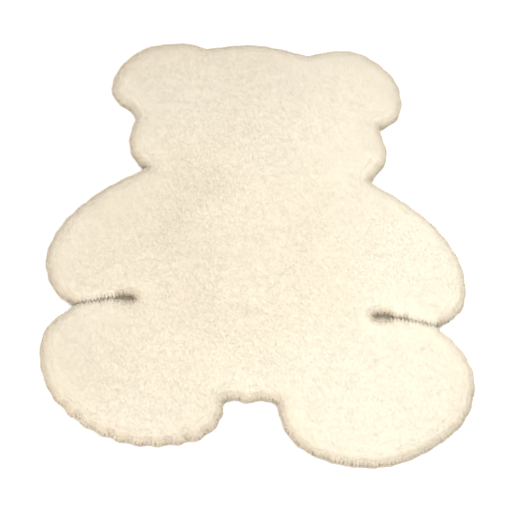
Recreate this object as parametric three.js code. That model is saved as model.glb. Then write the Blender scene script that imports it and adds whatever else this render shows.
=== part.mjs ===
// Bear-shaped nursery rug: one piece of deep, shaggy plush cut to the outline of a sitting teddy
// bear and laid flat, with a lumpy crown of pile and locks that splay over its rim.
// Millimetres, +Z up. The head points along +Y, and the origin is on the floor under the middle.
import * as THREE from "three";
import { ConvexHull } from "three/addons/math/ConvexHull.js";

// Driving dimensions
const PILE_HEIGHT = 30; // floor to the tips of the pile, away from the rim
const LUMP_HEIGHT = 2.4; // how far the crown swells above and sinks below that
const LOCK_WIDTH = 40; // one lock of pile along the rim
const LOCK_NOTCH = 3.5; // how far the rim draws in between two locks
const HEM_NOTCH = 12; // the same along the hem of the left foot, where the locks show most
const HEM_TOP = -380; // that hem lies further down than this
const LEAST_NOTCH = 0.5; // share of those that the shallowest notch has
const LOCK_STEPS = 5; // rim points in one lock
const PRESS_GAP = 24; // limbs closer than this press their pile upright against each other
const PRESS_SPAN = 4; // rim points to each side over which that fades
const CREASE_SOFTENING = 2; // passes that round the creases of the outline
const COMB_SOFTENING = 10; // passes that fan the pile out of the creases
const CROWN_PITCH = 24; // spacing of the points on the crown
const CROWN_MARGIN = 14; // clear of the rim's last ring
const BOWL_DIAMETER = 1000; // of the paraboloid that sorts the crown's points into triangles

// The outline of the pile from above, halfway down its locks and clockwise from the crown of the
// head. Each stretch starts at its crease and rounds its bellies on the way to the next stretch's
// crease. All are [x, y].
const OUTLINE = [
  { stretch: "crown", crease: [-118, 489], bellies: [[-60, 499], [0, 501], [64, 489]] },
  { stretch: "right ear", crease: [126, 469],
    bellies: [[174, 482], [240, 480], [298, 442], [334, 388], [337, 320], [313, 286]] },
  { stretch: "right cheek", crease: [281, 274], bellies: [[296, 230], [297, 188], [278, 160]] },
  { stretch: "right arm", crease: [254, 133],
    bellies: [[328, 84], [402, 13], [443, -61], [452, -115], [443, -168], [405, -203], [378, -210],
      [350, -203], [318, -194], [286, -187], [256, -182]] },
  { stretch: "right leg", crease: [243, -193],
    bellies: [[256, -204], [286, -202], [318, -203], [350, -211], [384, -221], [429, -261], [454, -328],
      [429, -412], [349, -476], [256, -508], [146, -496], [79, -457], [53, -411]] },
  { stretch: "seat", crease: [50, -377], bellies: [[8, -369], [-15, -378], [-42, -367]] },
  { stretch: "left leg", crease: [-69, -374],
    bellies: [[-68, -410], [-109, -451], [-175, -465], [-253, -462], [-340, -430], [-415, -365],
      [-448, -285], [-440, -215], [-384, -171], [-340, -162], [-306, -157], [-262, -160]] },
  { stretch: "left arm", crease: [-249, -151],
    bellies: [[-260, -141], [-290, -143], [-308, -147], [-340, -153], [-376, -158], [-406, -151],
      [-440, -110], [-454, -50], [-424, 29], [-365, 93], [-300, 138]] },
  { stretch: "left cheek", crease: [-239, 168], bellies: [[-262, 181], [-285, 222], [-284, 266]] },
  { stretch: "left ear", crease: [-272, 299],
    bellies: [[-284, 323], [-310, 339], [-335, 378], [-314, 445], [-258, 493], [-196, 505], [-150, 504]] },
];

// The rim in section, from the cut edge on the floor, out to the tips of the locks and up to the
// crown: how far in from the outline, the same where two limbs press, how high, and how much of the
// locks' notching it takes.
const RIM = [
  { ring: "cut edge", inset: 10, pressedInset: 10, height: 0, notching: 0 },
  { ring: "lock tips", inset: -3, pressedInset: -3, height: 9, notching: 1 },
  { ring: "shoulder", inset: 4, pressedInset: -2, height: 20, notching: 0.6 },
  { ring: "brow", inset: 15, pressedInset: 1, height: 27, notching: 0.2 },
  { ring: "crown edge", inset: 32, pressedInset: 8, height: PILE_HEIGHT, notching: 0 },
];

// The swells of the crown: two crossed waves each, by wavelength, heading and share of the height.
const SWELLS = [
  { wavelength: 230, heading: 0.4, share: 0.5 },
  { wavelength: 140, heading: 1.3, share: 0.3 },
  { wavelength: 90, heading: 2.2, share: 0.2 },
];

const vector = ([x, y]) => new THREE.Vector3(x, y, 0);

// The mean of a closed loop's neighbours, weighted to the point itself, over a number of passes.
function softened(loop, passes) {
  const count = loop.length;
  const around = (i) => loop.at(i - 1).clone().add(loop[(i + 1) % count]).multiplyScalar(0.25);
  for (let pass = 0; pass < passes; pass++) {
    loop = loop.map((point, i) => around(i).addScaledVector(point, 0.5));
  }
  return loop;
}

// Points along the outline at an even step, so that whole locks fit round it.
function outlinePoints() {
  const stretches = OUTLINE.map(({ crease, bellies }, i) => {
    const next = OUTLINE[(i + 1) % OUTLINE.length].crease;
    return new THREE.CatmullRomCurve3([crease, ...bellies, next].map(vector), false, "centripetal");
  });
  const points = stretches.flatMap((curve) => {
    const steps = LOCK_STEPS * Math.round(curve.getLength() / LOCK_WIDTH);
    return curve.getSpacedPoints(steps).slice(0, -1);
  });
  return softened(points, CREASE_SOFTENING);
}

// The way in from each point of the clockwise outline, fanned round the creases.
function inwardWays(points) {
  const count = points.length;
  const square = points.map((_, i) => {
    const along = points[(i + 1) % count].clone().sub(points.at(i - 1)).normalize();
    return new THREE.Vector3(along.y, -along.x, 0);
  });
  return softened(square, COMB_SOFTENING).map((way) => way.normalize());
}

// A share from 0 to 1 for lock number n, the same each time.
const lockShare = (n) => THREE.MathUtils.euclideanModulo(Math.sin(n * 12.9898) * 43758.5453, 1);

// How far the rim draws in at point i: least at the middle of a lock, most between two locks.
function notchAt(i, point) {
  const lock = Math.floor(i / LOCK_STEPS);
  const across = (i % LOCK_STEPS) / LOCK_STEPS;
  const isHem = point.x < 0 && point.y < HEM_TOP;
  const depth = isHem ? HEM_NOTCH : LOCK_NOTCH;
  return depth * (LEAST_NOTCH + (1 - LEAST_NOTCH) * lockShare(lock)) * (1 - Math.sin(Math.PI * across));
}

// The lumps of the crown over a point of the floor.
function lump({ x, y }) {
  const wave = ({ wavelength, heading, share }) => {
    const turn = (2 * Math.PI) / wavelength;
    const along = x * Math.cos(heading) + y * Math.sin(heading);
    const across = y * Math.cos(heading) - x * Math.sin(heading);
    return share * Math.sin(turn * along) * Math.cos(turn * across);
  };
  return LUMP_HEIGHT * SWELLS.reduce((sum, swell) => sum + wave(swell), 0);
}

// How hard the limb across a slot presses on each point of the outline: from 0 in the open to 1.
function pressings(points, ways) {
  const isPressed = points.map((point, i) => points.some((other, j) => {
    const facesBack = ways[i].dot(ways[j]) < -0.5;
    return facesBack && point.distanceTo(other) < PRESS_GAP;
  }));
  return points.map((_, i) => {
    const span = Array.from({ length: 2 * PRESS_SPAN + 1 }, (_, k) => i + k - PRESS_SPAN);
    return span.filter((n) => isPressed.at(n % points.length)).length / span.length;
  });
}

// One closed loop of the rim for each row of its section.
function rimRings() {
  const points = outlinePoints();
  const ways = inwardWays(points);
  const pressed = pressings(points, ways);
  return RIM.map(({ inset, pressedInset, height, notching }) => points.map((point, i) => {
    const depth = THREE.MathUtils.lerp(inset, pressedInset, pressed[i]) + notching * notchAt(i, point);
    const place = point.clone().addScaledVector(ways[i], depth);
    const lift = height / PILE_HEIGHT;
    place.z = height + lift * lift * lump(place);
    return place;
  }));
}

// Whether a point of the floor is inside a closed loop.
function isInside({ x, y }, loop) {
  return loop.reduce((inside, a, i) => {
    const b = loop[(i + 1) % loop.length];
    const crosses = a.y > y !== b.y > y && x < a.x + ((y - a.y) / (b.y - a.y)) * (b.x - a.x);
    return crosses ? !inside : inside;
  }, false);
}

// Points on a staggered grid over the crown, clear of the loop round it.
function crownPoints(loop) {
  const box = new THREE.Box3().setFromPoints(loop);
  const rowPitch = (CROWN_PITCH * Math.sqrt(3)) / 2;
  const points = [];
  for (let row = 0; box.min.y + row * rowPitch < box.max.y; row++) {
    for (let x = box.min.x + (row % 2) * (CROWN_PITCH / 2); x < box.max.x; x += CROWN_PITCH) {
      const place = new THREE.Vector3(x, box.min.y + row * rowPitch, 0);
      const clear = loop.every((p) => Math.hypot(p.x - place.x, p.y - place.y) > CROWN_MARGIN);
      if (clear && isInside(place, loop)) {
        place.z = PILE_HEIGHT + lump(place);
        points.push(place);
      }
    }
  }
  return points;
}

// Delaunay triangles of points seen from above, as index triples facing up: the underside of the
// hull of the points raised onto a paraboloid.
function delaunay(points) {
  const raised = points.map(({ x, y }) => new THREE.Vector3(x, y, (x * x + y * y) / BOWL_DIAMETER));
  const indexOf = new Map(raised.map((point, i) => [point, i]));
  const hull = new ConvexHull().setFromPoints(raised);
  return hull.faces.filter((face) => face.normal.z < 0).map(({ edge }) => {
    const corners = [edge.prev, edge, edge.next].map((e) => indexOf.get(e.head().point));
    return corners.reverse();
  });
}

// The whole pile as one closed surface: flat underside, rim and lumpy crown.
function rugGeometry() {
  const rings = rimRings();
  const count = rings[0].length;
  const crownEdge = rings.at(-1);
  const crown = [...crownEdge, ...crownPoints(crownEdge)];
  const crownStart = count * (rings.length - 1);

  const cutEdge = rings[0];
  const faces = THREE.ShapeUtils.triangulateShape(cutEdge, []).map((corners) => {
    const [a, b, c] = corners.map((i) => cutEdge[i]);
    const facesUp = b.clone().sub(a).cross(c.clone().sub(a)).z > 0;
    return facesUp ? corners.reverse() : corners;
  });
  for (let ring = 0; ring + 1 < rings.length; ring++) {
    for (let i = 0; i < count; i++) {
      const [a, b] = [i, (i + 1) % count].map((n) => ring * count + n);
      faces.push([a, a + count, b], [b, a + count, b + count]);
    }
  }
  for (const corners of delaunay(crown)) {
    const middle = corners.reduce((sum, i) => sum.addScaledVector(crown[i], 1 / 3), new THREE.Vector3());
    if (isInside(middle, crownEdge)) faces.push(corners.map((i) => crownStart + i));
  }

  const vertices = [...rings.slice(0, -1).flat(), ...crown];
  const geometry = new THREE.BufferGeometry().setFromPoints(vertices).setIndex(faces.flat());
  geometry.computeBoundingBox();
  const middle = geometry.boundingBox.getCenter(new THREE.Vector3());
  return geometry.translate(-middle.x, -middle.y, 0);
}

const plush = new THREE.MeshStandardMaterial({ color: 0xf4e7cf, roughness: 0.95, metalness: 0 });
const geometry = rugGeometry();
geometry.computeVertexNormals();
const pile = new THREE.Mesh(geometry, plush);
pile.name = "bear_rug";

const rug = new THREE.Group();
rug.add(pile);

export default rug;
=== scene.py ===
"""Looks of the bear-shaped plush rug: its backing, the dense body of its pile, the fibres over that, the
longer locks over its rim, and the studio round it. Metres, +Z up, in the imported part's own frame."""
import math

import bpy
import numpy as np
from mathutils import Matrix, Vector


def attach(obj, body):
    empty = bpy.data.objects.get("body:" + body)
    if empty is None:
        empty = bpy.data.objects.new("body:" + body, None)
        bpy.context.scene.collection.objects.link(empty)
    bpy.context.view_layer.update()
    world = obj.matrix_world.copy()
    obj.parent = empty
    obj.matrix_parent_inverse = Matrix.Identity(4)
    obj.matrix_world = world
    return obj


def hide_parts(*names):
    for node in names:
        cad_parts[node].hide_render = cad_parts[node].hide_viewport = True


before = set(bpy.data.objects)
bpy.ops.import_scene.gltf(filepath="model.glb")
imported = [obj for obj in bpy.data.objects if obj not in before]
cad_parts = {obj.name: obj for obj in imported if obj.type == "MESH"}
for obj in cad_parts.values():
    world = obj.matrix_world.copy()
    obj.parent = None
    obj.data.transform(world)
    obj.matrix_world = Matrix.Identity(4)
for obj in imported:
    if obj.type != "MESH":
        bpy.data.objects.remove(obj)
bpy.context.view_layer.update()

# The ground cloth, as it was cut
CUT_EDGE_TOP = 1e-5  # the corners of the cut edge lie lower than this
BACKING_THICKNESS = 0.002
BACKING_GAP = 0.0002  # between the cloth and the body of the pile

# The pile under the slab's surface: its dense body, and the fibres that lie over that
BODY_DEPTH = 0.0026
BODY_DIMPLES = [(0.0004, 0.030, 31), (0.0002, 0.016, 32)]  # height, wavelength, seed
FIBRE_COUNT = 240_000
FIBRE_LENGTH = (0.006, 0.010)
FIBRE_DEPTH = (0.0006, 0.0021)
FIBRE_DEPTH_STRAY = 0.5  # the share of that depth that is a fibre's own, and not its tuft's
FIBRE_SUNK = 0.002  # how far a root runs on into the body
FIBRE_RADIUS = (0.0004, 0.0007)
FIBRE_TAPER = 0.35
FIBRE_SECTION = [math.radians(angle) for angle in (210, 90, -30)]  # a ridge over two low corners
FIBRE_FLATNESS = 0.4
FIBRE_LIE = (math.radians(80), math.radians(93))  # from the surface's normal
FIBRE_STRAY = 0.25
UNDERSIDE_FALL = -0.97  # surfaces whose normals point further down than this carry no pile
TUFT_PITCH = 0.014
TUFT_GATHER = 0.15
TUFT_STRAY = 0.3
NAP_SWAY = [(0.7, 0.22, 21)]  # turn, wavelength, seed
LOOK_ROUNDNESS = 0.05  # how much of a fibre's own roundness its shading shows
FLOOR_CLEARANCE = 0.0006
PILE_BANDS = ("pile_feet", "pile_lap", "pile_belly", "pile_shoulders", "pile_head")

# The rim: the heights that its outermost ring lies between, how far in the lay turns and the painted
# shade of the rim fades, and the gap to the limb across a slot, from a shut seam to an open pocket
RIM_HEIGHT = (0.0085, 0.0095)
RIM_REACH = (0.012, 0.070)
RIM_FADE = 0.027
CLEAR_NAME = "clear_of_rim"  # the attribute that carries this painted rim shade onto the body
PRESS_GAP = (0.004, 0.010)
FACING = -0.5  # two ways out face each other where their product is less than this

# The longer locks that splay over the rim
LOCK_FIBRES = 20_000
LOCK_FALLS = (0.05, 0.85)  # they grow where the normal's height is between these
LOCK_ROOT_HEIGHT = 0.006
LOCK_PITCH = 0.014
LOCK_GATHER = 0.3
LOCK_LENGTH = (0.008, 0.013)
LOCK_RADIUS = (0.0003, 0.0005)
LOCK_LIFT = 1.3
LOCK_BEND = 0.6

# How tone and height along a fibre are laid out on its colour map
MAP_NAME = "OFBake"
MAP_TONES = (0.03, 0.97)
MAP_HEIGHT = 0.25
MAP_FIBRE_WIDTH = 0.006

# The pile's mean tone, how it varies by blotch, tuft and fibre, and how much warmer the middle is
PILE_TONE = 0.66
BLOTCHES = [(0.12, 0.16, 11), (0.06, 0.06, 12)]  # depth, wavelength, seed
TUFT_TONE = 0.06
FIBRE_TONE = 0.04
WARM_DEPTH = 0.26
WARM_MIDDLE = (-0.06, -0.03)
WARM_REACH = (0.12, 0.40)

# Colours of the pile by tone, from painted shade at the rim, darkest at tone 0, to the palest fibres, and
# from root to tip
PILE_TONES_AND_RIM_SHADE = [(0.0, (0.52, 0.42, 0.31)), (0.1, (0.67, 0.56, 0.435)), (0.2, (0.83, 0.72, 0.585)),
              (0.45, (0.91, 0.81, 0.67)), (1.0, (0.95, 0.875, 0.76))]
# Painted shade deep in the pile: each fibre darker at its root than at its tip
PILE_SHADES = [(0.0, (0.93, 0.90, 0.855)), (1.0, (1.0, 1.0, 1.0))]
BODY_TONES = [(0.3, (0.88, 0.78, 0.64)), (0.7, (0.90, 0.80, 0.66))]
# Painted shade on the body: darker towards the rim, except at a shut seam
BODY_SHADES = [(0.0, (0.72, 0.67, 0.62)), (0.5, (0.96, 0.94, 0.92)), (1.0, (1.0, 1.0, 1.0))]

# The finish of the fibres and of the felted body between them
PILE_FINISH = {"Roughness": 0.85, "Specular IOR Level": 0.2, "Sheen Weight": 0.25, "Sheen Roughness": 0.5,
               "Sheen Tint": (1.0, 0.95, 0.85, 1)}
BODY_FINISH = {"Roughness": 0.95, "Specular IOR Level": 0.1}
BODY_MOTTLE = {"Scale": 60, "Detail": 6}
BODY_FELT = {"Scale": 900, "Detail": 3}
FELT_BUMP = {"Strength": 0.3, "Distance": 0.002}

# The floor, and its colour by how open it is over a short reach: painted shade, dark deep between two
# limbs
FLOOR_HALF = 6.0
FLOOR_FINISH = {"Roughness": 0.9, "Specular IOR Level": 0.1, "Emission Strength": 0.7}
FLOOR_REACH = {"Distance": 0.03}
FLOOR_REACH_SAMPLES = 8
FLOOR_TONES_AND_PAINTED_SHADE = [(0.36, (0.24, 0.20, 0.14)), (0.46, (0.7, 0.7, 0.7))]

# The light: all round, from a broad lamp over the right arm, and from a weak one low at the front left
SKY = {"Color": (1.0, 0.985, 0.955, 1), "Strength": 0.985}
LAMPS = [
    {"name": "key_lamp", "place": (0.45, -0.25, 1.2), "size": 0.8,
     "power": 10.8, "colour": (0.9, 0.99, 1.0)},
    {"name": "fill_lamp", "place": (-1.4, -1.6, 0.8), "size": 1.0,
     "power": 12.0, "colour": (1.0, 0.97, 0.92)},
]

# The camera, at the photograph's angle
CAMERA_AIM = Vector((0.0025, -0.047, 0.012))
CAMERA_ELEVATION = math.radians(66)
CAMERA_DISTANCE = 2.30
CAMERA_LENS = 74.2
CAMERA_SENSOR = 36

# Steps of a sequence that spreads points evenly over a square: powers of the plastic ratio
EVEN_STEPS = np.array([0.7548776662466927, 0.5698402909980532])

# Turns that mix a cell's place and a number into a share without order
HASH_TURNS = (127.1, 311.7, 74.7)
HASH_SPREAD = 43758.5453

LEAST_LENGTH = 1e-12
SEED = 7
random = np.random.default_rng(SEED)


def unit(vectors):
    """Vectors of length 1."""
    return vectors / np.maximum(np.linalg.norm(vectors, axis=-1, keepdims=True), LEAST_LENGTH)


def read_numbers(items, name, width, kind):
    """One property of all the items, in rows of a width."""
    values = np.empty(len(items) * width, kind)
    items.foreach_get(name, values)
    return values.reshape(-1, width)


def slab_surface():
    """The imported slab's corners, triangles and smooth corner normals."""
    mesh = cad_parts["bear_rug"].data
    mesh.calc_loop_triangles()
    corners = read_numbers(mesh.vertices, "co", 3, np.float32).astype(float)
    triangles = read_numbers(mesh.loop_triangles, "vertices", 3, np.int32)
    weld = 1e-6
    _, first, place = np.unique(np.round(corners / weld), axis=0, return_index=True, return_inverse=True)
    corners = corners[first]
    triangles = place.reshape(-1)[triangles]
    a, b, c = (corners[triangles[:, k]] for k in range(3))
    across = np.cross(b - a, c - a)
    normals = np.zeros_like(corners)
    for k in range(3):
        np.add.at(normals, triangles[:, k], across)
    return corners, triangles, unit(normals)


CORNERS, TRIANGLES, NORMALS = slab_surface()


def scatter(count, wanted):
    """Places spread evenly over the slab's triangles that are wanted, with their surface normals."""
    a, b, c = (CORNERS[TRIANGLES[:, k]] for k in range(3))
    areas = np.linalg.norm(np.cross(b - a, c - a), axis=1) * wanted
    reach = np.cumsum(areas)
    along = (np.arange(count) + random.random(count)) / count * reach[-1]
    chosen = TRIANGLES[np.minimum(np.searchsorted(reach, along), len(TRIANGLES) - 1)]
    even = np.arange(count)[:, None] * EVEN_STEPS % 1
    s, t = np.sqrt(even[:, 0]), even[:, 1]
    shares = np.stack([1 - s, s * (1 - t), s * t], 1)[:, :, None]
    places = (CORNERS[chosen] * shares).sum(1)
    return places, unit((NORMALS[chosen] * shares).sum(1))


def hashed(cells, number):
    """A share from 0 to 1 for each whole-numbered cell, the same each time."""
    turn_x, turn_y, turn_number = HASH_TURNS
    mixed = np.sin(cells[:, 0] * turn_x + cells[:, 1] * turn_y + number * turn_number) * HASH_SPREAD
    return mixed - np.floor(mixed)


def tufts(places, pitch):
    """The nearest tuft to each place, seen from above: its centre, and three shares of its own."""
    cells = np.floor(places[:, :2] / pitch)
    nearest = np.full(len(places), np.inf)
    centres = np.zeros((len(places), 2))
    owners = np.zeros((len(places), 2))
    for step_x in (-1, 0, 1):
        for step_y in (-1, 0, 1):
            cell = cells + (step_x, step_y)
            inside = np.stack([hashed(cell, 1), hashed(cell, 2)], 1)
            centre = (cell + inside) * pitch
            apart = np.linalg.norm(places[:, :2] - centre, axis=1)
            closer = apart < nearest
            nearest[closer] = apart[closer]
            centres[closer] = centre[closer]
            owners[closer] = cell[closer]
    return centres, np.stack([hashed(owners, k) for k in (3, 4, 5)], 1)


def soft_noise(places, wavelength, seed):
    """Smooth noise over the floor, from -1 to 1, with bumps about a wavelength apart."""
    size = 64
    grid = np.random.default_rng(seed).random((size, size)) * 2 - 1
    at = places[:, :2] / wavelength + size / 2
    low = np.floor(at).astype(int)
    share = at - low
    share = share * share * (3 - 2 * share)
    x0, y0 = (low % size).T
    x1, y1 = ((low + 1) % size).T
    below = grid[x0, y0] * (1 - share[:, 0]) + grid[x1, y0] * share[:, 0]
    above = grid[x0, y1] * (1 - share[:, 0]) + grid[x1, y1] * share[:, 0]
    return below * (1 - share[:, 1]) + above * share[:, 1]


def waves(places, rows):
    """The sum of smooth noises over the floor, each by its height, wavelength and seed."""
    return sum(height * soft_noise(places, wavelength, seed) for height, wavelength, seed in rows)


def around(angles):
    """Level unit vectors at angles from +X."""
    return np.stack([np.cos(angles), np.sin(angles), np.zeros_like(angles)], 1)


def gathered(places, normals, centres, share):
    """How far each tip moves along the surface towards the middle of its tuft."""
    inward = np.zeros_like(places)
    inward[:, :2] = centres - places[:, :2]
    inward -= normals * (inward * normals).sum(1, keepdims=True)
    return inward * share


def smooth_step(low, high, values):
    """A share that eases from 0 at low to 1 at high."""
    share = np.clip((values - low) / (high - low), 0, 1)
    return share * share * (3 - 2 * share)


def pressed_shares(rim, ways):
    """How closely another limb presses on each place of the rim: 1 at a shut seam, 0 in the open."""
    apart = np.linalg.norm(rim[:, None] - rim[None], axis=2)
    apart[ways @ ways.T > FACING] = np.inf
    return 1 - smooth_step(*PRESS_GAP, apart.min(1))


def rim_of(places):
    """How far each place is from the rim, seen from above, the way out to it, and how it is pressed."""
    on_rim = (CORNERS[:, 2] > RIM_HEIGHT[0]) & (CORNERS[:, 2] < RIM_HEIGHT[1])
    rim = CORNERS[on_rim][:, :2]
    pressed = pressed_shares(rim, unit(NORMALS[on_rim][:, :2]))
    far = np.empty(len(places))
    out = np.zeros((len(places), 3))
    seam = np.empty(len(places))
    chunk = 20_000
    for start in range(0, len(places), chunk):
        spots = places[start:start + chunk, :2]
        apart = np.linalg.norm(spots[:, None] - rim[None], axis=2)
        nearest = apart.argmin(1)
        far[start:start + chunk] = apart.min(1)
        out[start:start + chunk, :2] = rim[nearest] - spots
        seam[start:start + chunk] = pressed[nearest]
    return far, unit(out), seam


def clear_of_rim(far, seam, normals):
    """A share that grows from 0 at the rim, and below it, to 1 on the crown and at a shut seam: where it
    is low, painted shade of the rim darkens the pile.
    """
    return np.clip(far / RIM_FADE + seam, 0, 1) * (normals[:, 2] > 0)


def tone_of(places, tuft_shares, clear):
    """The tone of each fibre, from 0, darkest painted rim shade, to 1, pale: a warm middle, blotches,
    tufts and painted shade at the rim.
    """
    broad = waves(places, BLOTCHES)
    own = TUFT_TONE * (tuft_shares[:, 2] - 0.5) + FIBRE_TONE * random.standard_normal(len(places))
    from_middle = np.linalg.norm(places[:, :2] - WARM_MIDDLE, axis=1)
    warm = WARM_DEPTH * (1 - smooth_step(*WARM_REACH, from_middle))
    return (PILE_TONE - warm + broad + own) * clear


def lay_of(places, normals, tuft_shares, far, out):
    """The way the fibres lie along the surface: towards the feet, turning out and down at the rim."""
    inner = smooth_step(*RIM_REACH, far)[:, None]
    sway = waves(places, NAP_SWAY) + TUFT_STRAY * (tuft_shares[:, 0] - 0.5) * 2
    nap = around(sway - math.pi / 2)
    level = np.clip(normals[:, 2:], 0, 1)
    lay = inner * nap + (1 - inner) * out * level
    lay += FIBRE_STRAY * random.standard_normal(places.shape)
    lay[:, 2:] -= 1 - level
    return unit(lay - normals * (lay * normals).sum(1, keepdims=True))


def fibre_mesh(name, joints, radii, normals, tones):
    """Tapered fibres as one mesh, three-sided with a low ridge up: joints is fibres x joints x 3."""
    fibres, levels = joints.shape[:2]
    rings = levels - 1
    ways = unit(joints[:, -1] - joints[:, 0])
    side = unit(np.cross(ways, normals))
    top = np.cross(side, ways)
    corners, looks, spots = [], [], []
    tones = np.clip(tones, 0, 1) * (MAP_TONES[1] - MAP_TONES[0]) + MAP_TONES[0]
    for ring in range(rings):
        height = ring / rings
        for k, angle in enumerate(FIBRE_SECTION):
            out = side * math.cos(angle) + top * FIBRE_FLATNESS * math.sin(angle)
            corners.append(joints[:, ring] + out * (radii * (1 - FIBRE_TAPER * height))[:, None])
            looks.append(unit(normals + LOOK_ROUNDNESS * out))
            spots.append(np.stack([tones + (k - 1) * MAP_FIBRE_WIDTH / 2, np.full(fibres, height)], 1))
    corners.append(joints[:, -1])
    looks.append(unit(normals))
    spots.append(np.stack([tones, np.ones(fibres)], 1))

    each = 3 * rings + 1
    faces = []
    for ring in range(rings - 1):
        for k in range(3):
            low, low_next = 3 * ring + k, 3 * ring + (k + 1) % 3
            faces += [(low, low_next, low + 3), (low_next, low_next + 3, low + 3)]
    faces += [(3 * rings - 3 + k, 3 * rings - 3 + (k + 1) % 3, each - 1) for k in range(3)]
    faces = (np.array(faces)[None] + np.arange(fibres)[:, None, None] * each).reshape(-1, 3)

    corners, looks, spots = (np.stack(x, 1).reshape(fibres * each, -1) for x in (corners, looks, spots))
    corners[:, 2] = np.maximum(corners[:, 2], FLOOR_CLEARANCE)
    spots[:, 1] *= MAP_HEIGHT
    mesh = bpy.data.meshes.new(name)
    mesh.vertices.add(len(corners))
    mesh.vertices.foreach_set("co", corners.astype(np.float32).ravel())
    mesh.loops.add(faces.size)
    mesh.loops.foreach_set("vertex_index", faces.astype(np.int32).ravel())
    mesh.polygons.add(len(faces))
    mesh.polygons.foreach_set("loop_start", np.arange(0, faces.size, 3, dtype=np.int32))
    mesh.update(calc_edges=True)
    colour_map = mesh.uv_layers.new(name=MAP_NAME)
    colour_map.data.foreach_set("uv", spots[faces.ravel()].astype(np.float32).ravel())
    mesh.shade_smooth()
    mesh.normals_split_custom_set_from_vertices(looks.astype(np.float32))
    return mesh


def placed(name, mesh, material):
    """A piece of the rug, which rides on its one body."""
    piece = bpy.data.objects.new(name, mesh)
    bpy.context.scene.collection.objects.link(piece)
    mesh.materials.append(material)
    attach(piece, "root")
    return piece


def new_material(name):
    """A material with its nodes and links."""
    material = bpy.data.materials.new(name)
    material.use_nodes = True
    return material, material.node_tree.nodes, material.node_tree.links


def set_inputs(node, values):
    """Constant values on a node's own sockets."""
    for name, value in values.items():
        node.inputs[name].default_value = value


def ramp_node(nodes, stops):
    """Colours by place along a ramp."""
    ramp = nodes.new("ShaderNodeValToRGB")
    elements = ramp.color_ramp.elements
    while len(elements) < len(stops):
        elements.new(0.5)
    for element, (place, colour) in zip(elements, stops):
        element.position = place
        element.color = (*colour, 1)
    return ramp


def product(nodes, links, *ramps):
    """The colours of two ramps multiplied."""
    both = nodes.new("ShaderNodeVectorMath")
    both.operation = "MULTIPLY"
    for ramp, socket in zip(ramps, both.inputs):
        links.new(ramp.outputs["Color"], socket)
    return both.outputs["Vector"]


def pile_material():
    """Cream fibres: beige or pale by tone, darkened towards tan by painted shade at the rim, and paler
    from the root to the tip.
    """
    material, nodes, links = new_material("cream_pile")
    shader = nodes["Principled BSDF"]
    set_inputs(shader, PILE_FINISH)
    spot = nodes.new("ShaderNodeUVMap")
    spot.uv_map = MAP_NAME
    parts = nodes.new("ShaderNodeSeparateXYZ")
    links.new(spot.outputs["UV"], parts.inputs["Vector"])
    height = nodes.new("ShaderNodeMath")
    height.operation = "DIVIDE"
    height.inputs[1].default_value = MAP_HEIGHT
    links.new(parts.outputs["Y"], height.inputs[0])
    tone = ramp_node(nodes, PILE_TONES_AND_RIM_SHADE)
    links.new(parts.outputs["X"], tone.inputs["Fac"])
    shade = ramp_node(nodes, PILE_SHADES)
    links.new(height.outputs[0], shade.inputs["Fac"])
    links.new(product(nodes, links, tone, shade), shader.inputs["Base Color"])
    return material


def body_material():
    """The dense body of the pile between the fibres: cream, felted and mottled, with painted shade that
    darkens it towards the rim.
    """
    material, nodes, links = new_material("cream_body")
    shader = nodes["Principled BSDF"]
    set_inputs(shader, BODY_FINISH)
    place = nodes.new("ShaderNodeTexCoord")
    mottle = nodes.new("ShaderNodeTexNoise")
    set_inputs(mottle, BODY_MOTTLE)
    links.new(place.outputs["Object"], mottle.inputs["Vector"])
    colour = ramp_node(nodes, BODY_TONES)
    links.new(mottle.outputs["Fac"], colour.inputs["Fac"])
    clear = nodes.new("ShaderNodeAttribute")
    clear.attribute_name = CLEAR_NAME
    shade = ramp_node(nodes, BODY_SHADES)
    links.new(clear.outputs["Fac"], shade.inputs["Fac"])
    links.new(product(nodes, links, colour, shade), shader.inputs["Base Color"])
    felt = nodes.new("ShaderNodeTexNoise")
    set_inputs(felt, BODY_FELT)
    links.new(place.outputs["Object"], felt.inputs["Vector"])
    bump = nodes.new("ShaderNodeBump")
    set_inputs(bump, FELT_BUMP)
    links.new(felt.outputs["Fac"], bump.inputs["Height"])
    links.new(bump.outputs["Normal"], shader.inputs["Normal"])
    return material


def split_once(corners, triangles, normals):
    """Each triangle split in four at the middles of its edges, as corners, triangles and normals."""
    edges = np.sort(triangles[:, [[0, 1], [1, 2], [2, 0]]].reshape(-1, 2), axis=1)
    edges, place = np.unique(edges, axis=0, return_inverse=True)
    middle = place.reshape(-1, 3) + len(corners)
    corners = np.concatenate([corners, corners[edges].mean(1)])
    normals = np.concatenate([normals, unit(normals[edges].mean(1))])
    a, b, c = triangles.T
    ab, bc, ca = middle.T
    split = [(a, ab, ca), (ab, b, bc), (ca, bc, c), (ab, bc, ca)]
    return corners, np.concatenate([np.stack(x, 1) for x in split]), normals


def make_backing(material):
    """The ground cloth: the slab's own underside, given the cloth's thickness."""
    flat = (CORNERS[TRIANGLES][:, :, 2] < CUT_EDGE_TOP).all(1)
    used, under = np.unique(TRIANGLES[flat], return_inverse=True)
    under = under.reshape(-1, 3)
    low = CORNERS[used]
    high = low + (0, 0, BACKING_THICKNESS)
    edges = under[:, [[0, 1], [1, 2], [2, 0]]].reshape(-1, 2)
    shared = {(b, a) for a, b in edges.tolist()}
    border = np.array([edge for edge in edges.tolist() if tuple(edge) not in shared])
    above = len(low)
    walls = np.stack([border[:, 1], border[:, 0], border[:, 0] + above, border[:, 1] + above], 1)
    mesh = bpy.data.meshes.new("backing")
    faces = under.tolist() + (under[:, ::-1] + above).tolist() + walls.tolist()
    mesh.from_pydata(np.concatenate([low, high]).tolist(), [], faces)
    return placed("backing", mesh, material)


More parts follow.
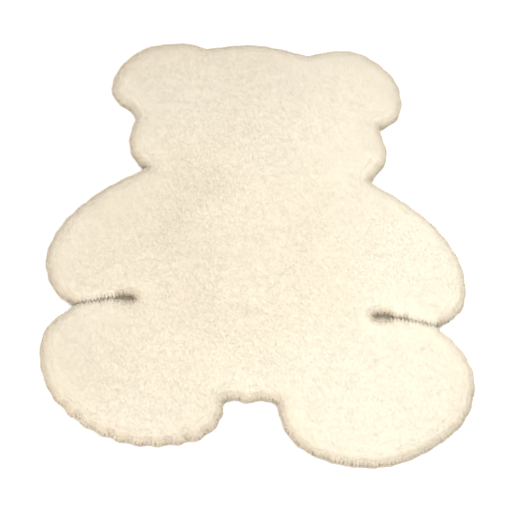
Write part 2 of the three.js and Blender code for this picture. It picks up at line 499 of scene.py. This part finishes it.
def make_body(material):
    """The dense body of the pile: the slab, drawn in except on a seam's walls, and softly dimpled."""
    corners, triangles, normals = split_once(CORNERS, TRIANGLES, NORMALS)
    dimples = waves(corners, BODY_DIMPLES)
    far, _, seam = rim_of(corners)
    upright = 1 - np.clip(normals[:, 2], 0, 1)
    inner = corners - normals * (BODY_DEPTH * (1 - seam * upright) - dimples)[:, None]
    on_floor = corners[:, 2] < CUT_EDGE_TOP
    inner[on_floor] = corners[on_floor]
    inner[:, 2] = np.maximum(inner[:, 2], BACKING_THICKNESS + BACKING_GAP)
    mesh = bpy.data.meshes.new("pile_body")
    mesh.from_pydata(inner.tolist(), [], triangles.tolist())
    mesh.shade_smooth()
    # clear sets how much painted shade of the rim the body takes: full at 0, none at 1
    clear = clear_of_rim(far, seam, normals)
    mesh.attributes.new(CLEAR_NAME, "FLOAT", "POINT").data.foreach_set("value", clear.astype(np.float32))
    piece = placed("pile_body", mesh, material)
    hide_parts("bear_rug")
    return piece


def make_pile(material):
    """The fibres over the crown and rim, in bands from the feet to the head."""
    falls = NORMALS[TRIANGLES].mean(1)[:, 2]
    under = (CORNERS[TRIANGLES][:, :, 2] < CUT_EDGE_TOP).all(1)
    places, normals = scatter(FIBRE_COUNT, np.where(under | (falls < UNDERSIDE_FALL), 0.0, 1.0))
    centres, shares = tufts(places, TUFT_PITCH)
    far, out, seam = rim_of(places)
    lie = random.uniform(*FIBRE_LIE, len(places))[:, None]
    ways = normals * np.cos(lie) + lay_of(places, normals, shares, far, out) * np.sin(lie)
    lengths = random.uniform(*FIBRE_LENGTH, len(places))[:, None]
    stray = random.random(len(places))
    sunk = shares[:, 1] * (1 - FIBRE_DEPTH_STRAY) + stray * FIBRE_DEPTH_STRAY
    starts = places - normals * np.interp(sunk, (0, 1), FIBRE_DEPTH)[:, None]
    tips = starts + ways * lengths + gathered(places, normals, centres, TUFT_GATHER)
    joints = np.stack([starts - ways * FIBRE_SUNK, tips], 1)
    radii = random.uniform(*FIBRE_RADIUS, len(places))
    tones = tone_of(places, shares, clear_of_rim(far, seam, normals))
    order = np.argsort(places[:, 1], kind="stable")
    pieces = []
    for name, band in zip(PILE_BANDS, np.array_split(order, len(PILE_BANDS))):
        mesh = fibre_mesh(name, joints[band], radii[band], normals[band], tones[band])
        pieces.append(placed(name, mesh, material))
    return pieces


def make_rim_locks(material):
    """Longer bent fibres along the rim, gathered into pointed locks."""
    falls = NORMALS[TRIANGLES].mean(1)[:, 2]
    heights = CORNERS[TRIANGLES].mean(1)[:, 2]
    wanted = (falls > LOCK_FALLS[0]) & (falls < LOCK_FALLS[1]) & (heights > LOCK_ROOT_HEIGHT)
    places, normals = scatter(LOCK_FIBRES, np.where(wanted, 1.0, 0.0))
    centres, shares = tufts(places, LOCK_PITCH)
    far, out, seam = rim_of(places)
    lay = lay_of(places, normals, shares, far, out)
    rise = unit(normals + LOCK_LIFT * lay)
    lengths = random.uniform(*LOCK_LENGTH, len(places))[:, None]
    starts = places - normals * BODY_DEPTH
    middles = starts + rise * lengths / 2
    fall = unit(rise + LOCK_BEND * lay)
    tips = middles + fall * lengths / 2 + gathered(places, normals, centres, LOCK_GATHER)
    radii = random.uniform(*LOCK_RADIUS, len(places))
    joints = np.stack([starts - rise * FIBRE_SUNK, middles, tips], 1)
    tones = tone_of(places, shares, clear_of_rim(far, seam, normals))
    mesh = fibre_mesh("rim_locks", joints, radii, normals, tones)
    return placed("rim_locks", mesh, material)


def make_floor():
    """A plain white floor, far wider than the view, that glows a little where it lies open, with painted
    shade where the rug shuts it in.
    """
    mesh = bpy.data.meshes.new("floor")
    corners = [(x * FLOOR_HALF, y * FLOOR_HALF, 0) for x, y in ((-1, -1), (1, -1), (1, 1), (-1, 1))]
    mesh.from_pydata(corners, [], [(0, 1, 2, 3)])
    floor = bpy.data.objects.new("floor", mesh)
    bpy.context.scene.collection.objects.link(floor)
    material, nodes, links = new_material("studio_floor")
    shader = nodes["Principled BSDF"]
    set_inputs(shader, FLOOR_FINISH)
    openness = nodes.new("ShaderNodeAmbientOcclusion")
    openness.samples = FLOOR_REACH_SAMPLES
    set_inputs(openness, FLOOR_REACH)
    # Painted shade: the floor's colour and glow turn dark where the rug shuts it in
    tone = ramp_node(nodes, FLOOR_TONES_AND_PAINTED_SHADE)
    links.new(openness.outputs["AO"], tone.inputs["Fac"])
    links.new(tone.outputs["Color"], shader.inputs["Base Color"])
    links.new(tone.outputs["Color"], shader.inputs["Emission Color"])
    mesh.materials.append(material)


def put(thing, place, aim):
    """A lamp or camera put at a place, looking at its aim."""
    thing.location = place
    thing.rotation_euler = (Vector(aim) - Vector(place)).to_track_quat("-Z", "Y").to_euler()


def make_light(name, place, size, power, colour):
    """A round lamp that looks at the middle of the rug."""
    data = bpy.data.lights.new(name, "AREA")
    data.shape = "DISK"
    data.size = size
    data.energy = power
    data.color = colour
    light = bpy.data.objects.new(name, data)
    bpy.context.scene.collection.objects.link(light)
    put(light, place, (0, 0, 0))


def make_studio():
    """Soft light from all round and from the lamps, and colours shown as they are."""
    world = bpy.data.worlds.new("studio")
    bpy.context.scene.world = world
    world.use_nodes = True
    set_inputs(world.node_tree.nodes["Background"], SKY)
    for lamp in LAMPS:
        make_light(**lamp)
    view = bpy.context.scene.view_settings
    view.view_transform = "Standard"
    view.look = "None"
    view.exposure = 0.0


def make_camera():
    """The camera in front of the feet, looking down at the rug."""
    data = bpy.data.cameras.new("camera")
    data.lens = CAMERA_LENS
    data.sensor_width = CAMERA_SENSOR
    camera = bpy.data.objects.new("camera", data)
    bpy.context.scene.collection.objects.link(camera)
    back = Vector((0, -math.cos(CAMERA_ELEVATION), math.sin(CAMERA_ELEVATION)))
    put(camera, CAMERA_AIM + back * CAMERA_DISTANCE, CAMERA_AIM)
    bpy.context.scene.camera = camera


make_camera()
make_studio()
make_floor()
pile = pile_material()
body = body_material()
backing = make_backing(body)
pile_pieces = [make_body(body), *make_pile(pile), make_rim_locks(pile)]
